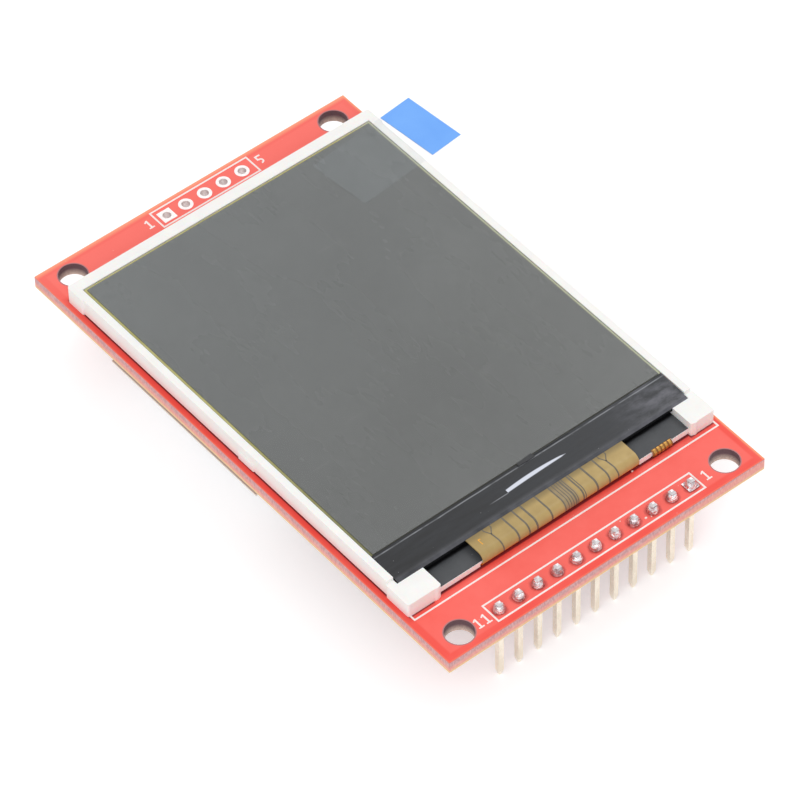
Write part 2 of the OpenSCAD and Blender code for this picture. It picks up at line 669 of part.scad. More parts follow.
board();
card_header_pads();
header_strip();
header_solder();
for (i = [0:pin_count - 1]) header_pin(i);
lcd_frame();
reflector_sheet();
light_guide();
diffuser_film();
prism_film_lower();
prism_film_upper();
lamp_flex();
lamps();
tail_traces();
lamp_shade_film();
rim_tape();
rear_polarizer();
array_glass();
filter_glass();
front_polarizer();
driver_chip();
driver_tape();
main_flex();
flex_pads();
protective_film();
pull_tab_clear();
pull_tab_blue();
foam_tape();
socket_shell();
socket_base();
socket_contacts();
regulator_body();
regulator_leads();
transistor_body();
transistor_leads();
resistor_bodies();
resistor_caps();
capacitor_bodies();
capacitor_caps();
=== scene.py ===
import math

import bpy
from mathutils import Matrix, Vector


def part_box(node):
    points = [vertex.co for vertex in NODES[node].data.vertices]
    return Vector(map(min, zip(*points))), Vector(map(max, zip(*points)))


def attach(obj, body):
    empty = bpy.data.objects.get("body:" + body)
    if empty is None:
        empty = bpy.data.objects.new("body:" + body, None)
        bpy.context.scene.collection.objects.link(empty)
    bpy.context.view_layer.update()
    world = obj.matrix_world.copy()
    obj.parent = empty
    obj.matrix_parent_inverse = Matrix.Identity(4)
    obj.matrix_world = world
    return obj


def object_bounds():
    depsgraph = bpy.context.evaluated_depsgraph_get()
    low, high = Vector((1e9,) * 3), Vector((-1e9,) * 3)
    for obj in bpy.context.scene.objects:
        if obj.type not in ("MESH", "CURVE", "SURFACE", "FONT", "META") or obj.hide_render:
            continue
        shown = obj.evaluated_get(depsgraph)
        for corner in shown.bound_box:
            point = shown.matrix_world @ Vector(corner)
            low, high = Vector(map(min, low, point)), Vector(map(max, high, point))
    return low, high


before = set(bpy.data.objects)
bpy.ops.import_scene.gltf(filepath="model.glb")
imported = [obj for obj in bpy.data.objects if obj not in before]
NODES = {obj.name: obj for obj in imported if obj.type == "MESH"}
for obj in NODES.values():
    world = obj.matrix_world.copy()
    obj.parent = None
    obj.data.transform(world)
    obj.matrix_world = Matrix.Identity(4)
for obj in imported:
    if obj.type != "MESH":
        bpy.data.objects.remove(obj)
cad_box = [list(v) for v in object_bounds()]
bpy.context.scene.view_settings.view_transform = "Standard"
MM = 0.001


# ---------------------------------------------------------------- node helpers

class Mat:
    """A node material with short calls; every position is in millimetres in the part's frame."""

    def __init__(self, name):
        self.m = bpy.data.materials.new(name)
        self.m.use_nodes = True
        self.t = self.m.node_tree
        self.t.nodes.clear()
        self.out = self.t.nodes.new("ShaderNodeOutputMaterial")
        self.bsdf = self.t.nodes.new("ShaderNodeBsdfPrincipled")
        self.t.links.new(self.bsdf.outputs[0], self.out.inputs[0])
        self._mm = None

    def new(self, kind, **props):
        n = self.t.nodes.new(kind)
        for k, v in props.items():
            setattr(n, k, v)
        return n

    def put(self, socket, value):
        if isinstance(value, bpy.types.NodeSocket):
            self.t.links.new(value, socket)
        elif value is not None:
            socket.default_value = value

    def set(self, **values):
        for k, v in values.items():
            s = self.bsdf.inputs[k.replace("_", " ")]
            if isinstance(v, (tuple, list)) and len(v) == 3 and s.type == "RGBA":
                v = (*v, 1.0)
            self.put(s, v)
        return self

    def mm(self):
        if self._mm is None:
            c = self.new("ShaderNodeTexCoord")
            s = self.new("ShaderNodeVectorMath", operation="SCALE")
            self.put(s.inputs[0], c.outputs["Object"])
            s.inputs["Scale"].default_value = 1000.0
            self._mm = s.outputs[0]
        return self._mm

    def xyz(self):
        s = self.new("ShaderNodeSeparateXYZ")
        self.put(s.inputs[0], self.mm())
        return s.outputs

    def up(self):
        g = self.new("ShaderNodeNewGeometry")
        s = self.new("ShaderNodeSeparateXYZ")
        self.put(s.inputs[0], g.outputs["Normal"])
        return s.outputs[2]

    def math(self, op, a, b=None, c=None, clamp=False):
        n = self.new("ShaderNodeMath", operation=op, use_clamp=clamp)
        for i, v in enumerate((a, b, c)):
            self.put(n.inputs[i], v)
        return n.outputs[0]

    def noise(self, scale, detail=3.0, rough=0.5, stretch=None, lift=0.0):
        n = self.new("ShaderNodeTexNoise")
        v = self.mm()
        if stretch or lift:
            m = self.new("ShaderNodeMapping")
            self.put(m.inputs["Vector"], v)
            m.inputs["Scale"].default_value = stretch or (1, 1, 1)
            m.inputs["Location"].default_value = (lift, lift, lift)
            v = m.outputs[0]
        self.put(n.inputs["Vector"], v)
        n.inputs["Scale"].default_value = scale
        n.inputs["Detail"].default_value = detail
        n.inputs["Roughness"].default_value = rough
        return n.outputs["Fac"]

    def range(self, v, a, b, lo=0.0, hi=1.0, smooth=False):
        n = self.new("ShaderNodeMapRange", clamp=True)
        if smooth:
            n.interpolation_type = "SMOOTHSTEP"
        self.put(n.inputs["Value"], v)
        for k, x in (("From Min", a), ("From Max", b), ("To Min", lo), ("To Max", hi)):
            self.put(n.inputs[k], x)
        return n.outputs[0]

    def mix(self, f, a, b, blend="MIX"):
        n = self.new("ShaderNodeMix", data_type="RGBA", blend_type=blend)
        self.put(n.inputs[0], f)
        for i, v in ((6, a), (7, b)):
            if isinstance(v, (tuple, list)):
                v = (*v[:3], 1.0)
            self.put(n.inputs[i], v)
        return n.outputs[2]

    def ramp(self, v, stops):
        n = self.new("ShaderNodeValToRGB")
        r = n.color_ramp
        while len(r.elements) < len(stops):
            r.elements.new(0.5)
        for e, (p, c) in zip(r.elements, stops):
            e.position = p
            e.color = (*c, 1.0)
        self.put(n.inputs[0], v)
        return n.outputs[0]

    def bump(self, h, strength=0.3, distance=0.02):
        n = self.new("ShaderNodeBump")
        self.put(n.inputs["Height"], h)
        n.inputs["Strength"].default_value = strength
        n.inputs["Distance"].default_value = distance * MM
        self.put(self.bsdf.inputs["Normal"], n.outputs[0])
        return self


def srgb(r, g, b):
    def f(c):
        c /= 255.0
        return c / 12.92 if c <= 0.04045 else ((c + 0.055) / 1.055) ** 2.4
    return (f(r), f(g), f(b))


def dress(name, mat):
    o = NODES[name]
    o.data.materials.clear()
    o.data.materials.append(mat.m)


# ---------------------------------------------------------------- mesh helpers

def piece(name, verts, faces, mat, smooth=False):
    me = bpy.data.meshes.new(name)
    me.from_pydata([Vector(v) * MM for v in verts], [], faces)
    me.update()
    if smooth:
        for p in me.polygons:
            p.use_smooth = True
    o = bpy.data.objects.new(name, me)
    bpy.context.scene.collection.objects.link(o)
    o.data.materials.append(mat.m)
    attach(o, "root")
    return o


class Build:
    """Gathers plates, bars and ribbons into one mesh, in millimetres."""

    def __init__(self):
        self.v, self.f = [], []

    def plate(self, poly, z0, z1):
        """A closed plate over a polygon given in X and Y, counter-clockwise."""
        i, n = len(self.v), len(poly)
        self.v += [(x, y, z0) for x, y in poly] + [(x, y, z1) for x, y in poly]
        self.f.append(tuple(i + n + k for k in range(n)))
        self.f.append(tuple(i + n - 1 - k for k in range(n)))
        for k in range(n):
            j = (k + 1) % n
            self.f.append((i + k, i + j, i + n + j, i + n + k))

    def bar(self, a, b, w, z0, z1):
        """A straight printed line from a to b."""
        ax, ay = a
        bx, by = b
        d = math.hypot(bx - ax, by - ay)
        ux, uy = (bx - ax) / d, (by - ay) / d
        nx, ny = -uy * w / 2, ux * w / 2
        self.plate([(ax + nx, ay + ny), (ax - nx, ay - ny), (bx - nx, by - ny), (bx + nx, by + ny)], z0, z1)

    def path(self, pts, w, z0, z1, closed=False):
        n = len(pts)
        for k in range(n if closed else n - 1):
            a, b = pts[k], pts[(k + 1) % n]
            d = math.hypot(b[0] - a[0], b[1] - a[1])
            ux, uy = (b[0] - a[0]) / d * w / 2, (b[1] - a[1]) / d * w / 2
            self.bar((a[0] - ux, a[1] - uy), (b[0] + ux, b[1] + uy), w, z0, z1)

    def make(self, name, mat, smooth=False):
        return piece(name, self.v, self.f, mat, smooth)


# ---------------------------------------------------------------- sizes from the frame

lo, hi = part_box("board")
BX, BY, BT = hi.x / MM, hi.y / MM, hi.z / MM
lo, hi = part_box("header_strip")
HEAD_Y = (lo.y + hi.y) / 2 / MM
PITCH = (hi.x - lo.x) / MM / 11
lo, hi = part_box("card_header_pads")
CARD_Y = (lo.y + hi.y) / 2 / MM
CARD_X0 = lo.x / MM + 0.825
lo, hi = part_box("main_flex")
FY0, FZ0, FZ1 = lo.y / MM, lo.z / MM, hi.z / MM
lo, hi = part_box("driver_tape")
TY0, TZ1 = lo.y / MM, hi.z / MM
HOLE_X, HOLE_Y = 17.6, 31.9
TRACK_W = 0.22                        # width of the signal tracks on the underside
SIGNAL_PINS = (2, 3, 5, 6, 7, 9)      # pins, counted from 0, whose tracks pass a chip resistor
CHIP_REACH = 2.1                      # corners closer than this are on one chip part
PIN_BOX = (-13.8, 13.8, -33.43, -30.70)   # printed boxes round the two rows: x0, x1, y0, y1
CARD_BOX = (-6.1, 7.1, 31.07, 33.8)
FOOT_X0, FOOT_X1, FOOT_Y = -20.12, 20.35, -27.93   # printed outline in front of the display
lo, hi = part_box("lcd_frame")
FRAME_X, FRAME_Y0, FRAME_Y1 = hi.x / MM - 0.15, lo.y / MM + 0.38, hi.y / MM


# ---------------------------------------------------------------- camera, light and floor

def eye_ray(t):
    """Is 1 for camera, glossy and transmission rays, and 0 for the rays that light the object."""
    path = t.nodes.new("ShaderNodeLightPath")
    seen = path.outputs["Is Camera Ray"]
    for name in ("Is Glossy Ray", "Is Transmission Ray"):
        n = t.nodes.new("ShaderNodeMath")
        n.operation = "MAXIMUM"
        t.links.new(seen, n.inputs[0])
        t.links.new(path.outputs[name], n.inputs[1])
        seen = n.outputs[0]
    return seen


def stage():
    cam = bpy.data.cameras.new("camera")
    cam.sensor_width = 36.0
    cam.lens = 256.27
    cam.clip_start, cam.clip_end = 0.01, 20.0
    o = bpy.data.objects.new("camera", cam)
    bpy.context.scene.collection.objects.link(o)
    right = Vector((0.77396935, -0.63298711, -0.01728482))
    down = Vector((-0.48044939, -0.56923897, -0.66718466))
    ahead = Vector((0.41248010, 0.52468496, -0.74469179))
    m = Matrix((right, -down, -ahead)).transposed().to_4x4()
    m.translation = Vector((-0.244918, -0.312445, 0.439294))
    o.matrix_world = m
    bpy.context.scene.camera = o

    def area(name, at, target, size, power, colour=(1, 1, 1)):
        d = bpy.data.lights.new(name, "AREA")
        d.shape = "SQUARE"
        d.size = size
        d.energy = power
        d.color = colour
        l = bpy.data.objects.new(name, d)
        bpy.context.scene.collection.objects.link(l)
        l.location = at
        l.rotation_euler = (Vector(target) - Vector(at)).to_track_quat("-Z", "Y").to_euler()

    area("key", (0.34, 0.10, 0.46), (0, 0, 0), 0.30, 0.55)
    area("fill", (-0.35, -0.30, 0.40), (0, 0, 0), 0.40, 1.15)

    w = bpy.data.worlds.new("studio")
    bpy.context.scene.world = w
    w.use_nodes = True
    t = w.node_tree
    t.nodes.clear()
    out = t.nodes.new("ShaderNodeOutputWorld")
    light = t.nodes.new("ShaderNodeBackground")
    light.inputs[0].default_value = (1, 1, 1, 1)
    light.inputs[1].default_value = 0.72
    seen = t.nodes.new("ShaderNodeBackground")
    seen.inputs[0].default_value = (1, 1, 1, 1)
    seen.inputs[1].default_value = 1.0
    mix = t.nodes.new("ShaderNodeMixShader")
    t.links.new(eye_ray(t), mix.inputs[0])
    t.links.new(light.outputs[0], mix.inputs[1])
    t.links.new(seen.outputs[0], mix.inputs[2])
    t.links.new(mix.outputs[0], out.inputs[0])

    z = cad_box[0][2] - 0.00005
    me = bpy.data.meshes.new("floor")
    s = 3.0
    me.from_pydata([(-s, -s, z), (s, -s, z), (s, s, z), (-s, s, z)], [], [(0, 1, 2, 3)])
    f = bpy.data.objects.new("floor", me)
    bpy.context.scene.collection.objects.link(f)
    m = bpy.data.materials.new("floor")
    m.use_nodes = True
    t = m.node_tree
    t.nodes.clear()
    out = t.nodes.new("ShaderNodeOutputMaterial")
    d = t.nodes.new("ShaderNodeBsdfDiffuse")
    d.inputs[0].default_value = (0.82, 0.82, 0.82, 1)
    em = t.nodes.new("ShaderNodeEmission")
    em.inputs[0].default_value = (1, 1, 1, 1)
    c = t.nodes.new("ShaderNodeMath")
    c.operation = "MULTIPLY"
    c.inputs[1].default_value = 0.42
    t.links.new(eye_ray(t), c.inputs[0])
    t.links.new(c.outputs[0], em.inputs[1])
    add = t.nodes.new("ShaderNodeAddShader")
    t.links.new(d.outputs[0], add.inputs[0])
    t.links.new(em.outputs[0], add.inputs[1])
    t.links.new(add.outputs[0], out.inputs[0])
    me.materials.append(m)


# ---------------------------------------------------------------- materials

def board_material():
    m = Mat("red_laminate")
    x, y, z = m.xyz()
    side = m.math("LESS_THAN", m.math("ABSOLUTE", m.up()), 0.5)
    ax, ay = m.math("ABSOLUTE", x), m.math("ABSOLUTE", y)
    dx, dy = m.math("SUBTRACT", ax, HOLE_X), m.math("SUBTRACT", ay, HOLE_Y)
    d = m.math("SQRT", m.math("ADD", m.math("MULTIPLY", dx, dx), m.math("MULTIPLY", dy, dy)))
    # solder mask over poured copper, with a slightly deeper border where the copper stops
    inset = m.math("MINIMUM", m.math("SUBTRACT", BX, ax), m.math("SUBTRACT", BY, ay))
    bare = m.range(inset, 0.70, 1.0, 1.0, 0.0, smooth=True)
    mottled = m.noise(0.28, 4.0, 0.6)
    mask = m.mix(m.range(mottled, 0.3, 0.7), srgb(247, 97, 86), srgb(251, 107, 97))
    patchy = m.range(m.noise(0.2, 2.0), 0.35, 0.6, 0.45, 1.0)
    mask = m.mix(m.math("MULTIPLY", bare, patchy), mask, srgb(243, 76, 64))
    # painted glare: the mask is lighter towards the far end of the board
    mask = m.mix(m.range(y, 24.0, 32.0, 0.0, 0.6), mask, srgb(252, 122, 112))
    away = m.math("SUBTRACT", BY, y)
    rim = m.range(inset, 0.0, 0.14, 1.0, 0.0)
    mask = m.mix(m.math("MULTIPLY", rim, 0.7), mask, srgb(252, 138, 96))
    # painted glare: pale fringes along the far and right edges of the board
    mask = m.mix(m.range(away, 0.12, 0.62, 0.85, 0.0), mask, srgb(253, 166, 130))
    mask = m.mix(m.range(m.math("SUBTRACT", BX, x), 0.05, 0.34, 0.7, 0.0), mask, srgb(252, 176, 128))
    # painted shade: a darker band and a thin dark line on the board along the foot of the display
    fx = m.math("SUBTRACT", ax, FRAME_X)
    fy = m.math("SUBTRACT", FRAME_Y0, y)
    block = m.math("MULTIPLY", m.math("GREATER_THAN", ax, 17.0), 0.36)
    foot = m.math("MAXIMUM", fx, m.math("SUBTRACT", fy, block))
    foot = m.math("MAXIMUM", foot, m.math("SUBTRACT", y, FRAME_Y1))
    mask = m.mix(m.range(foot, 0.0, 0.85, 0.42, 0.0, smooth=True), mask, srgb(214, 44, 36))
    mask = m.mix(m.range(foot, 0.02, 0.17, 0.85, 0.0), mask, srgb(98, 30, 40))
    ring = m.range(d, 1.68, 1.76, 1.0, 0.0)
    mask = m.mix(ring, mask, srgb(176, 120, 122))
    # a darker ring on the board round each soldered pin
    px = m.math("WRAP", x, PITCH / 2, -PITCH / 2)
    py = m.math("SUBTRACT", y, HEAD_Y)
    pd = m.math("SQRT", m.math("ADD", m.math("MULTIPLY", px, px), m.math("MULTIPLY", py, py)))
    pd = m.math("ADD", pd, m.math("MULTIPLY", m.math("SUBTRACT", m.noise(1.6, 2.0), 0.5), 0.5))
    pin_ring = m.math("MULTIPLY", m.range(pd, 0.78, 1.0, 0.6, 0.0), m.math("LESS_THAN", ax, PITCH * 5.5))
    mask = m.mix(pin_ring, mask, srgb(176, 58, 56))
    # fine dots of dust
    v = m.new("ShaderNodeTexVoronoi")
    m.put(v.inputs["Vector"], m.mm())
    v.inputs["Scale"].default_value = 0.55
    mask = m.mix(m.range(v.outputs["Distance"], 0.018, 0.030, 0.75, 0.0), mask, srgb(255, 190, 182))
    # cut edge of the laminate: mauve with glass specks above, pink below, pale at the lower rim
    speck = m.noise(6.0, 2.0, 0.7, stretch=(1, 1, 0.35))
    upper = m.mix(m.range(speck, 0.42, 0.62), srgb(204, 150, 154), srgb(226, 180, 178))
    lower = m.mix(m.range(speck, 0.4, 0.65), srgb(238, 158, 148), srgb(246, 180, 168))
    lift = m.math("MULTIPLY", m.range(x, 6.0, 20.0, 0.0, 0.55), m.math("LESS_THAN", y, 0.0))
    level = m.math("ADD", m.math("SUBTRACT", z, lift), m.math("MULTIPLY", m.noise(1.3), 0.4))
    edge = m.mix(m.range(level, 0.85, 1.15), lower, upper)
    edge = m.mix(m.range(z, 0.12, 0.42, 1.0, 0.0), edge, srgb(248, 210, 158))
    edge = m.mix(m.range(z, 1.46, 1.56), edge, srgb(238, 92, 80))
    # drilled walls: painted shade, dark in their upper part and paler towards the underside; rough
    wall = m.mix(m.range(z, 0.10, 0.95), srgb(232, 206, 192), srgb(108, 78, 84))
    wall = m.mix(m.range(m.noise(5.0, 3.0), 0.4, 0.7, 0.0, 0.35), wall, srgb(78, 58, 66))
    edge = m.mix(m.math("LESS_THAN", d, 1.9), edge, wall)
    m.set(Base_Color=m.mix(side, mask, edge), Roughness=m.mix(side, (0.38,) * 3, (0.62,) * 3),
          Specular_IOR_Level=0.34)
    weave = m.math("MULTIPLY", m.noise(2.2, 3.0), 0.7)
    grain = m.math("MULTIPLY", m.noise(14.0, 2.0), 0.3)
    m.bump(m.math("ADD", weave, grain), 0.10, 0.03)
    return m


def metal(name, colour, rough, spread=0.08, scale=3.0, bump=0.1, tint=None, stretch=None):
    m = Mat(name)
    n = m.noise(scale, 4.0, 0.6, stretch)
    c = m.mix(m.range(n, 0.35, 0.7), tint or tuple(v * 0.82 for v in colour), colour)
    m.set(Base_Color=c, Metallic=1.0, Roughness=m.range(n, 0.3, 0.7, rough - spread, rough + spread))
    m.bump(m.noise(scale * 3, 3.0, 0.6, stretch), bump, 0.02)
    return m


def plastic(name, colour, dark, rough, scale=2.0, bump=0.08, fine=18.0, **more):
    m = Mat(name)
    n = m.noise(scale, 4.0, 0.55)
    m.set(Base_Color=m.mix(m.range(n, 0.3, 0.7), dark, colour),
          Roughness=m.range(n, 0.3, 0.7, rough - 0.04, rough + 0.05), **more)
    m.bump(m.noise(fine, 3.0), bump, 0.015)
    return m


def white_moulding():
    m = Mat("white_moulding")
    x, y, z = m.xyz()
    n = m.noise(0.5, 3.0)
    c = m.mix(m.range(n, 0.3, 0.7), srgb(242, 241, 238), srgb(247, 246, 243))
    # the moulding is a little translucent; the pink near its foot is painted bounce light from the red board
    low = m.range(z, 1.6, 2.9, 1.0, 0.0, smooth=True)
    c = m.mix(m.math("MULTIPLY", low, 0.45), c, srgb(255, 214, 214))
    m.set(Base_Color=c, Roughness=0.36, Subsurface_Weight=0.12, Subsurface_Scale=0.0006)
    m.bump(m.noise(9.0, 3.0), 0.06, 0.02)
    return m


def view_face(name, base, far):
    """Switched-off panel: near black in itself; its grey colour, lighter towards +x and the far side, is a
    painted reflection of the bright surroundings, with faint clouds and rubbed marks.
    """
    m = Mat(name)
    x, y, z = m.xyz()
    # painted reflection: the grey base, lighter towards +x
    base = m.mix(m.range(x, 2.0, 19.0), base, tuple(v * 1.16 for v in base))
    cloud = m.noise(0.055, 4.0, 0.62)
    rub = m.noise(0.22, 4.0, 0.6, stretch=(1.0, 0.35, 1.0))
    # painted reflection: lighter towards the far side
    lean = m.math("ADD", m.math("MULTIPLY", x, -0.35), y)
    c = m.mix(m.range(lean, -6.0, 34.0, 0.0, 1.0), base, far)
    c = m.mix(m.range(cloud, 0.35, 0.68, 0.0, 0.10), c, (0.05, 0.05, 0.05))
    c = m.mix(m.range(rub, 0.60, 0.80, 0.0, 0.10), c, (0.24, 0.24, 0.24))
    hair = m.noise(0.9, 2.0, 0.5, stretch=(0.12, 1.6, 1.0))
    c = m.mix(m.range(hair, 0.70, 0.74, 0.0, 0.12), c, (0.26, 0.26, 0.26))
    m.set(Base_Color=c, Roughness=m.range(rub, 0.3, 0.8, 0.24, 0.32), Specular_IOR_Level=0.40)
    m.bump(m.noise(0.12, 2.0), 0.02, 0.02)
    return m


def glass_edge():
    """The bare rim of the glass outside the polarizer: olive, paler at the far and left sides."""
    m = Mat("panel_glass")
    x, y, z = m.xyz()
    n = m.noise(0.5, 3.0)
    c = m.mix(m.range(n, 0.3, 0.7), srgb(176, 170, 106), srgb(196, 190, 128))
    c = m.mix(m.range(y, -19.0, 4.0, 0.75, 0.0), c, srgb(96, 98, 70))
    c = m.mix(m.range(x, 16.0, 19.0), c, srgb(186, 190, 160))
    # painted shade: near black beside the tape's far edge
    c = m.mix(m.range(y, -21.5, -19.9, 1.0, 0.0), c, srgb(18, 18, 20))
    m.set(Base_Color=c, Roughness=0.22, Specular_IOR_Level=0.4)
    m.bump(m.noise(3.0, 2.0), 0.04, 0.02)
    return m


def clear_film(name, tint, cover, rough):
    """Thin clear film: mostly see-through, with a faint milky veil."""
    m = Mat(name)
    n = m.noise(0.25, 4.0, 0.6)
    m.set(Base_Color=m.mix(m.range(n, 0.3, 0.7), tint, tuple(min(1.0, v * 1.1) for v in tint)),
          Roughness=m.range(n, 0.3, 0.7, rough, rough + 0.08), Alpha=cover)
    return m


def tape_material():
    m = Mat("black_tape")
    x, y, z = m.xyz()
    long = m.noise(0.8, 4.0, 0.6, stretch=(0.25, 1.6, 1.0))
    c = m.mix(m.range(long, 0.35, 0.7), srgb(22, 23, 26), srgb(38, 40, 44))
    # painted sheen: the tape is lighter towards its right end
    c = m.mix(m.range(x, -10.0, 12.0, 0.0, 0.35), c, srgb(62, 65, 70))
    # painted reflection: lighter over the curved lip at the near end
    near = m.range(y, TY0 + 0.15, TY0 + 0.75, 1.0, 0.0, smooth=True)
    c = m.mix(m.math("MULTIPLY", near, m.range(m.noise(0.5, 3.0), 0.3, 0.65, 0.2, 0.9)), c, srgb(84, 85, 91))
    # lighter streaks towards the right end
    streaks = m.range(m.noise(0.75, 4.0, 0.6, stretch=(0.6, 1.4, 1.0)), 0.40, 0.68)
    right = m.math("MULTIPLY", m.range(x, 9.5, 18.0, 0.0, 1.0, smooth=True), streaks)
    c = m.mix(m.math("MULTIPLY", right, 0.75), c, srgb(112, 112, 120))
    # painted highlight along a ridge just inside the far edge, broken in places
    wave = m.math("MULTIPLY", m.math("SUBTRACT", m.noise(0.22, 2.0, stretch=(1, 0, 0)), 0.5), 0.12)
    yy = m.math("ADD", y, wave)
    line = m.range(m.math("ABSOLUTE", m.math("SUBTRACT", yy, -20.43)), 0.035, 0.10, 1.0, 0.0)
    broken = m.range(m.noise(0.45, 3.0, stretch=(1, 0.2, 1), lift=3.1), 0.36, 0.56, 0.15, 1.0)
    line = m.math("MULTIPLY", line, broken)
    c = m.mix(m.math("MULTIPLY", line, 0.85), c, srgb(136, 138, 143))
    # dark outer edge
    c = m.mix(m.range(y, -20.16, -20.08, 0.0, 1.0), c, srgb(12, 12, 14))
    # painted glint along a long ridge, tapering to the right, and a fine scratch beside it
    t = m.range(x, -3.2, 4.6)
    hump = m.math("MULTIPLY", t, m.math("SUBTRACT", 1.0, t))
    arch = m.math("ADD", -22.12, m.math("MULTIPLY", hump, 0.5))
    mid = m.math("ADD", m.math("MULTIPLY", t, 0.05), arch)
    half = m.math("ADD", 0.20, m.math("MULTIPLY", hump, 0.36))
    half = m.math("SUBTRACT", half, m.math("MULTIPLY", t, 0.14))
    half = m.math("MULTIPLY", half, m.range(x, 4.62, 4.0))
    glint = m.range(m.math("SUBTRACT", half, m.math("ABSOLUTE", m.math("SUBTRACT", y, mid))), -0.04, 0.05)
    between = m.math("MULTIPLY", m.math("GREATER_THAN", x, -3.24), m.math("LESS_THAN", x, 4.6))
    glint = m.math("MULTIPLY", glint, between)
    c = m.mix(glint, c, srgb(214, 218, 230))
    scratch = m.range(m.math("ABSOLUTE", m.math("SUBTRACT", y, -22.38)), 0.03, 0.08, 1.0, 0.0)
    ends = m.math("MULTIPLY", m.range(x, -5.8, -4.6), m.range(x, -3.4, -3.1, 1.0, 0.0))
    scratch = m.math("MULTIPLY", scratch, ends)
    c = m.mix(m.math("MULTIPLY", scratch, 0.6), c, srgb(150, 152, 158))
    # specks of dust
    v = m.new("ShaderNodeTexVoronoi")
    m.put(v.inputs["Vector"], m.mm())
    v.inputs["Scale"].default_value = 0.9
    c = m.mix(m.range(v.outputs["Distance"], 0.030, 0.045, 0.6, 0.0), c, srgb(150, 150, 154))
    m.set(Base_Color=c, Roughness=m.range(long, 0.3, 0.7, 0.28, 0.42), Specular_IOR_Level=0.34)
    wrinkle = m.noise(1.1, 3.0, 0.5, stretch=(0.35, 2.2, 1.0))
    m.bump(m.math("ADD", m.math("MULTIPLY", wrinkle, 0.5), m.math("ADD", line, glint)), 0.22, 0.10)
    return m


def flex_material():
    m = Mat("tan_flex")
    x, y, z = m.xyz()
    n = m.noise(0.9, 3.0)
    c = m.mix(m.range(n, 0.3, 0.7), srgb(176, 150, 96), srgb(188, 162, 106))
    c = m.mix(m.range(x, -10.0, 10.0, 0.35, 0.0), c, srgb(150, 126, 74))
    # greyer over the dense traces
    mid = m.range(m.math("ABSOLUTE", m.math("SUBTRACT", x, 1.3)), 0.8, 1.15, 1.0, 0.0, smooth=True)
    c = m.mix(m.math("MULTIPLY", mid, 0.6), c, srgb(138, 124, 104))
    # amber where light comes through near the lower end of the fold
    low = m.range(z, 2.02, 2.52, 1.0, 0.0, smooth=True)
    low = m.math("MULTIPLY", low, m.range(m.math("ABSOLUTE", m.math("ADD", x, 1.5)), 2.0, 6.0, 0.55, 1.0))
    c = m.mix(low, c, srgb(232, 134, 34))
    # shade under the tape's lip
    top = m.range(y, -25.25, -24.35, 0.0, 1.0, smooth=True)
    c = m.mix(m.math("MULTIPLY", top, 0.55), c, srgb(104, 90, 60))
    m.set(Base_Color=c, Roughness=0.36, Specular_IOR_Level=0.34)
    m.bump(m.noise(4.0, 2.0, 0.5, stretch=(2.0, 0.3, 0.3)), 0.12, 0.02)
    return m


def shade_material():
    m = Mat("dark_film")
    x, y, z = m.xyz()
    n = m.noise(0.7, 4.0, 0.55)
    c = m.mix(m.range(n, 0.3, 0.7), srgb(66, 68, 71), srgb(76, 78, 81))
    # painted shade: black where it runs in under the tape
    c = m.mix(m.range(m.math("ADD", y, m.math("MULTIPLY", n, 0.3)), -24.35, -24.10), c, srgb(8, 8, 10))
    v = m.new("ShaderNodeTexVoronoi")
    m.put(v.inputs["Vector"], m.mm())
    v.inputs["Scale"].default_value = 0.8
    c = m.mix(m.range(v.outputs["Distance"], 0.03, 0.05, 0.5, 0.0), c, srgb(150, 150, 150))
    m.set(Base_Color=c, Roughness=m.range(n, 0.3, 0.7, 0.38, 0.46), Specular_IOR_Level=0.34)
    m.bump(m.noise(1.4, 3.0), 0.05, 0.02)
    return m


def pin_material():
    """Gilt below the board, tinned by the solder above it."""
    m = Mat("gilt_pin")
    x, y, z = m.xyz()
    n = m.noise(1.4, 4.0, 0.6, stretch=(1, 1, 0.3))
    gold = m.mix(m.range(n, 0.35, 0.7), (0.80, 0.73, 0.60), (0.92, 0.86, 0.74))
    tin = m.mix(m.range(n, 0.35, 0.7), (0.60, 0.58, 0.60), (0.84, 0.82, 0.83))
    m.set(Base_Color=m.mix(m.range(z, 1.3, 1.5), gold, tin), Metallic=1.0,
          Roughness=m.range(n, 0.3, 0.7, 0.20, 0.34))
    m.bump(m.noise(5.0, 3.0, 0.6, stretch=(1, 1, 0.3)), 0.14, 0.02)
    return m


def solder_material():
    """Tin solder, lumpy, with a few bright facets; pinkish patches are a painted reflection of the red
    board, and it is darker and redder at its foot.
    """
    m = Mat("solder")
    x, y, z = m.xyz()
    n = m.noise(1.7, 4.0, 0.62)
    c = m.ramp(n, ((0.36, (0.30, 0.22, 0.23)), (0.46, (0.62, 0.56, 0.58)),
                   (0.58, (0.80, 0.78, 0.80)), (0.68, (0.97, 0.96, 0.96))))
    # painted reflection: pinkish patches stand in for the red board seen in the solder
    pink_reflection = m.range(m.noise(2.3, 2.0, 0.5, lift=5.0), 0.60, 0.68)
    c = m.mix(m.math("MULTIPLY", pink_reflection, 0.6), c, srgb(214, 120, 96))
    # darker and redder at the foot of each joint
    c = m.mix(m.range(z, BT + 0.03, BT + 0.10, 0.7, 0.0), c, srgb(150, 84, 84))
    m.set(Base_Color=c, Metallic=1.0, Roughness=m.range(n, 0.36, 0.66, 0.38, 0.16))
    m.bump(m.noise(1.6, 3.0, 0.62), 1.0, 0.22)
    return m


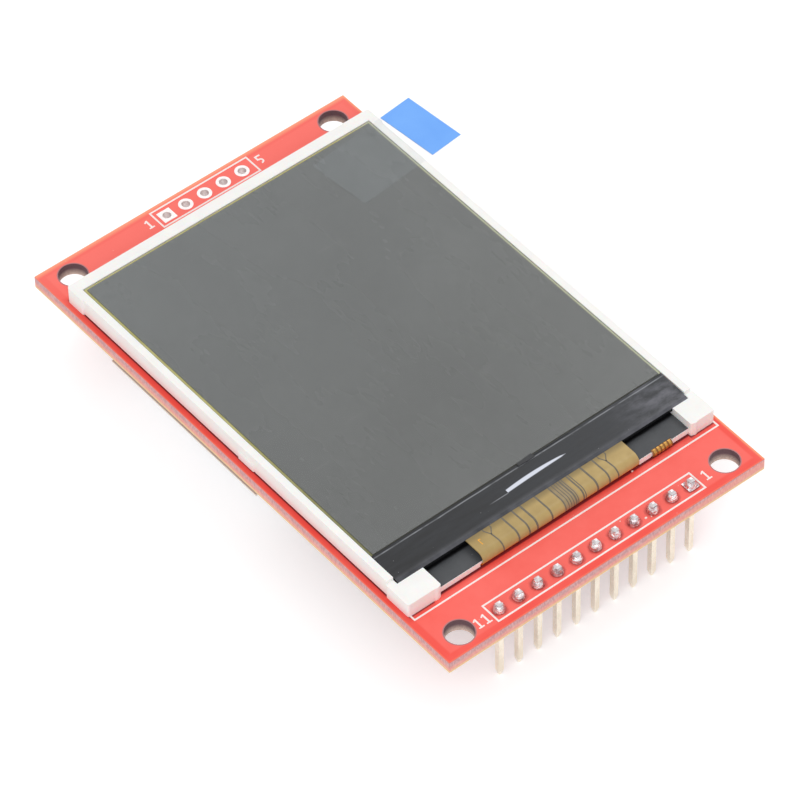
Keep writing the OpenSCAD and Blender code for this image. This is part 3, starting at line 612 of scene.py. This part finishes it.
def shell_material():
    """Tinned sheet with a drawn grain; the lip of the mouth is painted pale and non-metallic, painted light
    in place of the shade on it.
    """
    m = Mat("tinned_steel")
    x, y, z = m.xyz()
    n = m.noise(0.8, 4.0, 0.6, stretch=(0.15, 3.0, 1.0))
    c = m.mix(m.range(n, 0.35, 0.7), (0.62, 0.62, 0.65), (0.78, 0.78, 0.80))
    # painted light: the lip of the mouth is pale and not metallic
    lip = m.range(x, -19.42, -19.30, 1.0, 0.0)
    c = m.mix(lip, c, srgb(250, 238, 224))
    m.set(Base_Color=c, Metallic=m.math("SUBTRACT", 1.0, lip), Roughness=m.range(n, 0.3, 0.7, 0.24, 0.36))
    m.bump(m.noise(2.4, 3.0, 0.6, stretch=(0.15, 3.0, 1.0)), 0.08, 0.02)
    return m


stage()

M = {}
M["board"] = board_material()
M["pad"] = metal("tinned_pad", (0.95, 0.91, 0.90), 0.38, scale=4.0, tint=(0.88, 0.82, 0.81))
M["header_plastic"] = plastic("header_plastic", srgb(34, 34, 36), srgb(26, 26, 28), 0.48, bump=0.2)
M["solder"] = solder_material()
M["pin"] = pin_material()
M["white"] = white_moulding()
M["sheet"] = plastic("reflector", srgb(240, 240, 243), srgb(230, 230, 236), 0.25)
M["guide"] = clear_film("clear_acrylic", (0.86, 0.92, 0.94), 0.35, 0.06)
M["white_film"] = plastic("white_film", srgb(240, 240, 240), srgb(228, 230, 232), 0.5)
M["amber"] = plastic("amber_flex", srgb(150, 96, 34), srgb(124, 76, 26), 0.40, scale=1.6)
M["lamp"] = plastic("lamp_body", srgb(240, 226, 150), srgb(226, 214, 150), 0.35)
M["gilt"] = metal("gilt_trace", (0.66, 0.38, 0.11), 0.45, scale=5.0, tint=(0.42, 0.22, 0.06))
M["shade"] = shade_material()
M["tape"] = tape_material()
M["face"] = view_face("polarizer_sheet", srgb(106, 108, 107), srgb(117, 120, 120))
M["glass"] = glass_edge()
M["silicon"] = plastic("silicon", srgb(60, 62, 68), srgb(48, 50, 56), 0.12)
M["flex"] = flex_material()
M["cover"] = clear_film("clear_film", (0.15, 0.16, 0.155), 0.02, 0.20)
M["tab_clear"] = clear_film("tab_film", (0.58, 0.66, 0.70), 0.05, 0.16)
M["blue"] = plastic("blue_film", srgb(114, 175, 252), srgb(104, 167, 249), 0.34, scale=0.25)
M["foam"] = plastic("foam", srgb(222, 222, 216), srgb(200, 200, 194), 0.8, scale=5.0, bump=0.5, fine=8.0)
M["steel"] = shell_material()
M["black"] = plastic("black_moulding", srgb(38, 38, 41), srgb(28, 28, 31), 0.45, bump=0.22)
M["spring"] = metal("gilt_spring", (0.90, 0.74, 0.42), 0.26, scale=3.0)
M["lead"] = metal("tinned_lead", (0.80, 0.80, 0.82), 0.28, scale=4.0)
M["dark_ceramic"] = plastic("dark_ceramic", srgb(34, 34, 36), srgb(22, 22, 24), 0.32, scale=4.0)
M["tan_ceramic"] = plastic("tan_ceramic", srgb(178, 142, 98), srgb(160, 124, 84), 0.55, scale=5.0)
M["silk"] = plastic("silkscreen", srgb(252, 244, 241), srgb(246, 226, 222), 0.6, scale=5.0, bump=0.3)
M["trace"] = plastic("flex_trace", srgb(112, 104, 88), srgb(96, 89, 76), 0.42, scale=3.0)
M["mark"] = plastic("flex_mark", srgb(246, 176, 52), srgb(232, 158, 40), 0.4, scale=3.0)
M["speck"] = plastic("dust_speck", srgb(252, 236, 228), srgb(240, 220, 212), 0.6, scale=3.0)

for names, key in (
        (["board"], "board"), (["card_header_pads", "flex_pads"], "pad"),
        (["header_strip"], "header_plastic"),
        (["header_solder"], "solder"), (["header_pin_%d" % i for i in range(1, 12)], "pin"),
        (["lcd_frame"], "white"), (["reflector_sheet"], "sheet"), (["light_guide"], "guide"),
        (["diffuser_film", "prism_film_lower", "prism_film_upper"], "white_film"),
        (["lamp_flex"], "amber"), (["lamps"], "lamp"), (["tail_traces"], "gilt"),
        (["lamp_shade_film"], "shade"),
        (["rim_tape", "driver_tape"], "tape"), (["rear_polarizer", "front_polarizer"], "face"),
        (["array_glass", "filter_glass"], "glass"), (["driver_chip"], "silicon"), (["main_flex"], "flex"),
        (["protective_film"], "cover"), (["pull_tab_clear"], "tab_clear"), (["pull_tab_blue"], "blue"),
        (["foam_tape"], "foam"), (["socket_shell"], "steel"),
        (["socket_base", "regulator_body", "transistor_body"], "black"), (["socket_contacts"], "spring"),
        (["regulator_leads", "transistor_leads", "resistor_caps", "capacitor_caps"], "lead"),
        (["resistor_bodies"], "dark_ceramic"), (["capacitor_bodies"], "tan_ceramic")):
    for n in names:
        dress(n, M[key])


# ---------------------------------------------------------------- print on the board

def one(b, x, y, h, z0, z1, w=0.2):
    """Upright numeral 1 with a flag and a foot, its middle at x, y."""
    b.bar((x, y - h / 2), (x, y + h / 2), w, z0, z1)
    b.bar((x - 0.26 * h, y - h / 2 + w / 2), (x + 0.26 * h, y - h / 2 + w / 2), w * 0.8, z0, z1 + 0.0005)
    b.bar((x - 0.24 * h, y + h / 2 - 0.22 * h), (x, y + h / 2 - w * 0.3), w * 0.8, z0, z1 + 0.001)


def five(b, x, y, h, z0, z1, w=0.22):
    """Upright numeral 5, its middle at x, y."""
    r = h * 0.30
    b.bar((x - r * 0.8, y + h / 2 - w / 2), (x + r, y + h / 2 - w / 2), w, z0, z1 + 0.004)
    b.bar((x - r * 0.8 + w / 2, y + h / 2), (x - r * 0.8 + w / 2, y - 0.02 * h), w, z0, z1 + 0.002)
    # the bowl is one ring sector
    cx, cy = x - 0.04 * h, y - h / 2 + r
    outer, inner = [], []
    for k in range(15):
        a = math.radians(122 - 21.5 * k / 1.35)
        outer.append((cx + r * math.cos(a), cy + r * math.sin(a)))
        inner.append((cx + (r - w) * math.cos(a), cy + (r - w) * math.sin(a)))
    for k in range(14):
        b.plate([outer[k + 1], outer[k], inner[k], inner[k + 1]], z0, z1)


def front_print():
    b = Build()
    z0, z1 = BT - 0.002, BT + 0.012
    w = 0.2
    # outline round the display, near side and its two returns
    b.bar((FOOT_X0, FOOT_Y + w / 2), (FOOT_X1, FOOT_Y + w / 2), w, z0, z1)
    b.bar((FOOT_X0 + w / 2, FOOT_Y), (FOOT_X0 + w / 2, -26.7), w, z0, z1 + 0.0005)
    b.bar((FOOT_X1 - w / 2, FOOT_Y), (FOOT_X1 - w / 2, -26.76), w, z0, z1 + 0.0005)
    # boxes round the two rows of holes
    for x0, x1, y0, y1 in (PIN_BOX, CARD_BOX):
        h = w / 2
        b.bar((x0, y0 + h), (x1, y0 + h), w, z0, z1)
        b.bar((x0, y1 - h), (x1, y1 - h), w, z0, z1)
        b.bar((x0 + h, y0), (x0 + h, y1), w, z0, z1 + 0.0005)
        b.bar((x1 - h, y0), (x1 - h, y1), w, z0, z1 + 0.0005)
    one(b, 14.85, -32.1, 1.35, z0, z1)
    one(b, -15.45, -32.25, 1.35, z0, z1)
    one(b, -14.45, -32.25, 1.35, z0, z1)
    one(b, -7.0, 32.5, 1.3, z0, z1, 0.22)
    five(b, 7.95, 32.5, 1.3, z0, z1, 0.2)
    b.make("front_print", M["silk"])


front_print()


# ---------------------------------------------------------------- flex traces and small marks

def fold_point(arc, lift):
    """Point on the outside of the main flex's fold; arc runs from the tape's lip round and under."""
    r = (FZ1 - FZ0) / 2
    yc, zc = FY0 + r, FZ0 + r
    flat = 2.6
    if arc < flat:
        return (yc + flat - arc, zc + r + lift)
    a = (arc - flat) / r
    return (yc - (r + lift) * math.sin(a), zc + (r + lift) * math.cos(a))


def ribbon(b, x0, x1, arc0, arc1, w, steps=64, t=0.008):
    """A trace laid on the fold, from x0 at arc0 to x1 at arc1."""
    rows = []
    for k in range(steps + 1):
        f = k / steps
        arc = arc0 + (arc1 - arc0) * f
        x = x0 + (x1 - x0) * f
        yo, zo = fold_point(arc, t)
        yi, zi = fold_point(arc, -0.004)
        rows.append([(x - w / 2, yo, zo), (x + w / 2, yo, zo), (x + w / 2, yi, zi), (x - w / 2, yi, zi)])
    i = len(b.v)
    for row in rows:
        b.v += row
    for k in range(steps):
        for j in range(4):
            a, c = i + 4 * k + j, i + 4 * k + (j + 1) % 4
            b.f.append((a, c, c + 4, a + 4))
    b.f.append((i, i + 3, i + 2, i + 1))
    j = i + 4 * steps
    b.f.append((j, j + 1, j + 2, j + 3))


def flex_print():
    b = Build()
    end = 4.95
    # plain traces
    for x, w in ((-5.72, 0.22), (-4.35, 0.20), (-3.30, 0.24), (-1.35, 0.21), (0.42, 0.16), (0.86, 0.10),
                 (1.18, 0.10), (1.50, 0.10), (1.84, 0.18), (2.12, 0.10), (2.84, 0.20), (3.12, 0.12),
                 (4.70, 0.23), (6.28, 0.20)):
        ribbon(b, x - 0.06, x + 0.06, 0.0, end, w)
    # first and last traces end in a fork
    for x, s in ((-7.78, 1), (7.42, -1)):
        ribbon(b, x - 0.12, x + 0.14, 1.68, end, 0.17)
        ribbon(b, x - 0.50, x - 0.10, 0.95, 1.72, 0.15, 4)
        ribbon(b, x + 0.42, x - 0.14, 0.95, 1.72, 0.15, 4)
        ribbon(b, x - 0.52, x - 0.50, 0.0, 0.98, 0.13, 4)
        ribbon(b, x + 0.44, x + 0.42, 0.0, 0.98, 0.13, 4)
    b.make("flex_traces", M["trace"])
    b = Build()
    ribbon(b, -9.46, -9.42, 1.40, 2.20, 0.09, 6, 0.010)
    ribbon(b, -9.34, -9.30, 1.40, 1.52, 0.26, 2, 0.009)
    b.make("flex_mark", M["mark"])


def tape_flap():
    """The small torn corner of the tape that stands on the film at mid-length."""
    b = Build()
    z = TZ1 + 0.085
    b.plate([(-0.28, -20.42), (1.92, -20.46), (1.80, -19.86), (-0.18, -20.02)], z, z + 0.022)
    b.plate([(1.80, -20.20), (6.6, -20.18), (6.6, -20.13), (1.80, -20.14)], z - 0.01, z + 0.004)
    b.make("tape_flap", M["tape_flap"])


def specks():
    b = Build()
    for x, y, r in ((6.39, -32.54, 0.15), (9.43, -26.91, 0.12), (6.95, -32.75, 0.07), (4.1, -31.2, 0.06)):
        turn = [k * math.pi / 4 for k in range(8)]
        b.plate([(x + r * math.cos(a), y + r * 0.8 * math.sin(a)) for a in turn], BT - 0.002, BT + 0.05)
    b.make("dust_specks", M["speck"])


def under_print():
    """Outlines of the parts and the tracks between them, on the underside."""
    b = Build()
    z0, z1, w = -0.012, 0.002, 0.16
    def box(x0, x1, y0, y1):
        h = w / 2
        b.bar((x0, y0 + h), (x1, y0 + h), w, z0, z1)
        b.bar((x0, y1 - h), (x1, y1 - h), w, z0, z1)
        b.bar((x0 + h, y0), (x0 + h, y1), w, z0 - 0.0005, z1)
        b.bar((x1 - h, y0), (x1 - h, y1), w, z0 - 0.0005, z1)
    box(*PIN_BOX)
    box(*CARD_BOX)
    for node, dx, dy in (("regulator_body", 0.5, 0.35), ("transistor_body", 0.35, 0.35)):
        lo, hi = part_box(node)
        box(lo.x / MM - dx, hi.x / MM + dx, lo.y / MM - dy, hi.y / MM + dy)
    for x0, x1, y0, y1 in CHIPS:
        box(x0 - 0.3, x1 + 0.3, y0 - 0.3, y1 + 0.3)
    lo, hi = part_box("socket_base")
    y0, y1, x1 = lo.y / MM - 0.45, hi.y / MM + 0.45, hi.x / MM + 1.6
    b.bar((-BX + 1.2, y0), (x1, y0), w, z0, z1)
    b.bar((-BX + 1.2, y1), (x1, y1), w, z0, z1)
    b.bar((x1, y0), (x1, y1), w, z0 - 0.0005, z1)
    b.make("under_print", M["silk"])
    b = Build()
    z0 = -0.03
    # tracks: from the pins to the chips, the socket and the card header
    for k in range(11):
        x = (5 - k) * PITCH
        if k in SIGNAL_PINS:
            j = SIGNAL_PINS.index(k)
            rx = RES_X[5 - j]
            y_turn = HEAD_Y + 2.2 + 0.35 * j
            y_out = RES_Y1 + 2.0 + 0.5 * j
            b.path([(x, HEAD_Y + 0.9), (x, y_turn), (rx, y_turn + abs(rx - x) * 0.45),
                    (rx, RES_Y0 - 0.1)], TRACK_W, z0, 0.0)
            b.path([(rx, RES_Y1 + 0.1), (rx, y_out), (rx + 1.2, y_out + 1.2), (rx + 1.2, -5.4)],
                   TRACK_W, z0, 0.0)
        elif k == 0:
            b.path([(x, HEAD_Y + 0.9), (x, -24.0), (x + 2.4, -21.6), (x + 2.4, 24.0), (10.0, 30.4)],
                   0.8, z0, 0.0)
        elif k == 10:
            b.path([(x, HEAD_Y + 0.9), (x, -24.5), (x - 1.4, -23.1), (x - 1.4, -21.0)], 0.5, z0, 0.0)
    for k in range(5):
        x = CARD_X0 + k * PITCH
        y_turn = CARD_Y - 2.0 - 0.5 * k
        b.path([(x, CARD_Y - 0.95), (x, y_turn), (x + 2.5, y_turn - 2.5)], TRACK_W, z0, 0.0)
    b.make("under_tracks", M["track"])


def chip_boxes():
    """The boxes of the chip parts, gathered from the vertices of their end caps."""
    out = []
    for name in ("resistor_caps", "capacitor_caps"):
        o = NODES[name]
        groups = []
        for v in o.data.vertices:
            p = (v.co.x / MM, v.co.y / MM)
            for g in groups:
                if any(abs(p[0] - q[0]) < CHIP_REACH and abs(p[1] - q[1]) < CHIP_REACH for q in g):
                    g.append(p)
                    break
            else:
                groups.append([p])
        for g in groups:
            xs, ys = zip(*g)
            out.append((min(xs), max(xs), min(ys), max(ys)))
    return out


lo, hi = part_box("resistor_caps")
RES_Y0, RES_Y1 = lo.y / MM, hi.y / MM
RES_X = [lo.x / MM + 0.4 + k * ((hi.x - lo.x) / MM - 0.8) / 5 for k in range(6)]
CHIPS = chip_boxes()
M["track"] = plastic("masked_track", srgb(250, 112, 98), srgb(246, 100, 88), 0.36, scale=0.6)
M["tape_flap"] = plastic("tape_flap", srgb(44, 46, 50), srgb(26, 27, 30), 0.34, scale=0.9)

flex_print()
tape_flap()
specks()
under_print()
